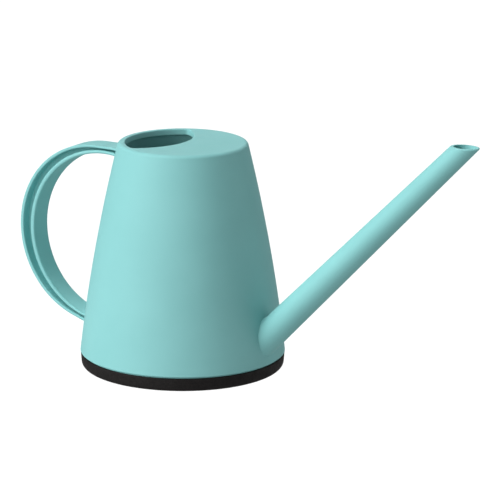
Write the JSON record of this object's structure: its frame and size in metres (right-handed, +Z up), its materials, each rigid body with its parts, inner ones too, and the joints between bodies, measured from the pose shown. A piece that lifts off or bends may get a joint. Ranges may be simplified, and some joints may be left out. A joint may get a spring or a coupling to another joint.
{
  "type": "watering can",
  "caption": "Indoor watering can with a tapered round body, a lens-shaped filler opening in its closed deck, a long straight slanted spout and a crescent loop handle.",
  "frame": {"origin": "on the surface that the can stands on, at the axis of its round body", "axes": "+X towards the spout, -X towards the handle, +Z up, and the can is the same on both sides of the XZ plane"},
  "size_m": [0.3792, 0.15, 0.1909],
  "materials": {
    "teal_plastic": "fine matte, lightly grained",
    "black_rubber": "dull, fine speckled grain",
    "seal_rubber": "smooth, dull"
  },
  "bodies": {
    "root": {"can_shell": "teal_plastic", "spout": "teal_plastic", "handle": "teal_plastic", "floor_plate": "teal_plastic", "floor_seal": "seal_rubber", "base_ring": "black_rubber"}
  },
  "joints": []
}
